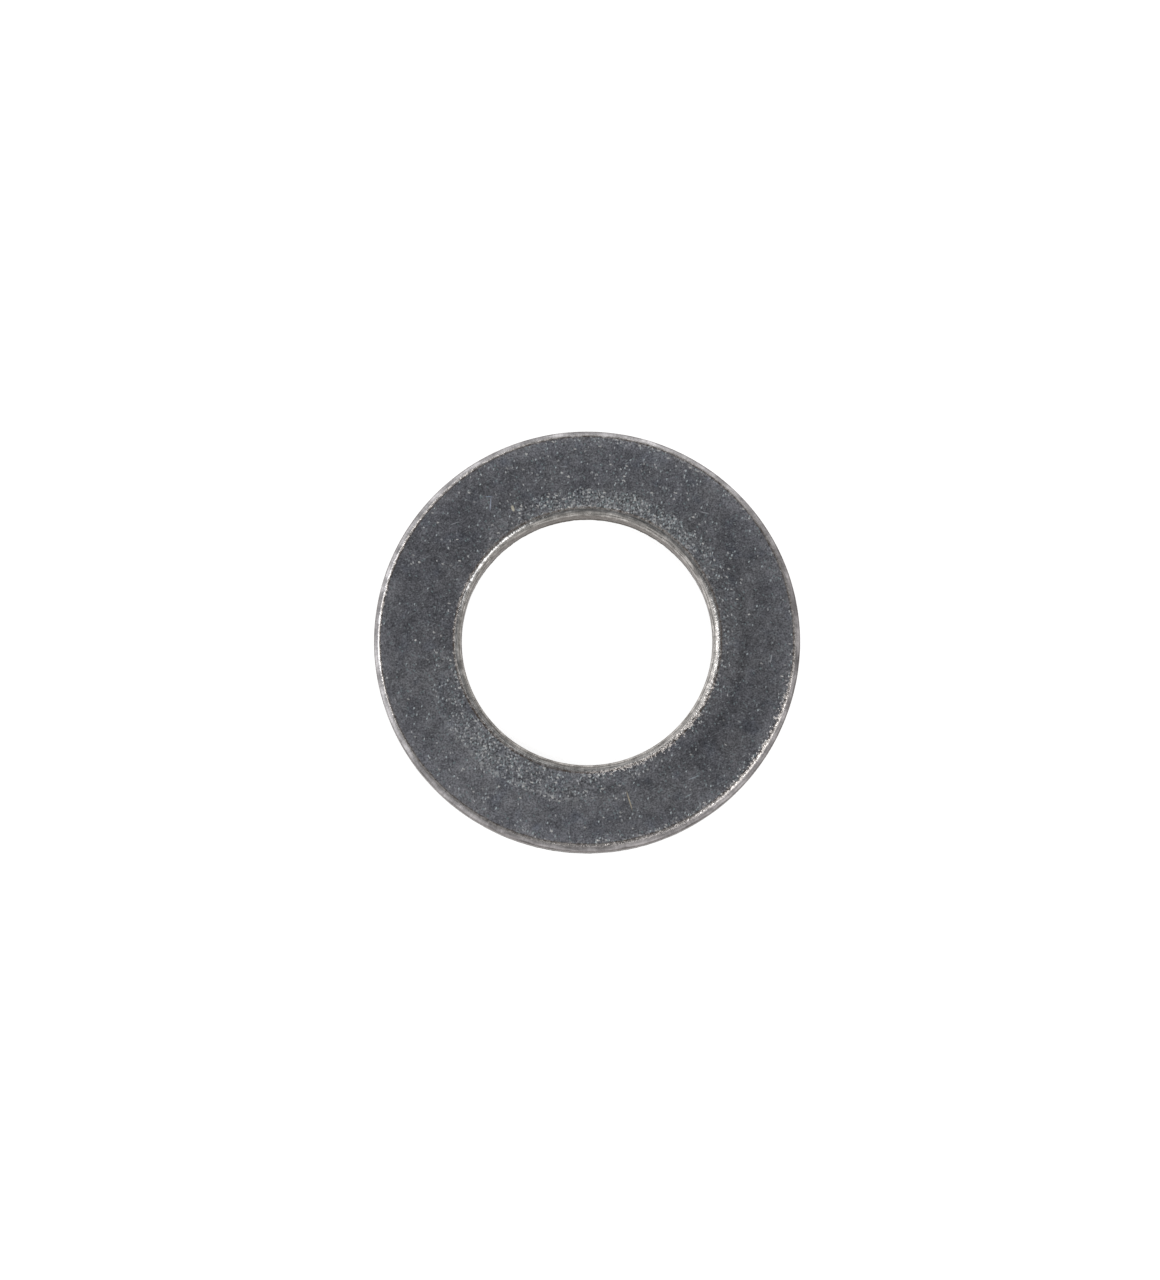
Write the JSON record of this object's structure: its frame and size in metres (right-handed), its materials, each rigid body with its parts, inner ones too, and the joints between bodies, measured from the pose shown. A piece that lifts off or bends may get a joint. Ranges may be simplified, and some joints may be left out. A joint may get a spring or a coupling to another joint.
{
  "type": "flat washer",
  "caption": "Small-series flat steel washer for an M10 bolt, punched from plate, with rolled upper edges round its rim and bore.",
  "frame": {"origin": "centre of the bore, on the bottom bearing face, the torn side of the punching", "axes": "+Z along the bore, from the bottom bearing face to the top bearing face, whose edges are rolled"},
  "size_m": [0.0178, 0.0178, 0.0016],
  "materials": {
    "steel": "dull dark grey mill steel with fine grain, a few scratches and brighter punched edges"
  },
  "bodies": {
    "root": {"washer": "steel"}
  },
  "joints": []
}
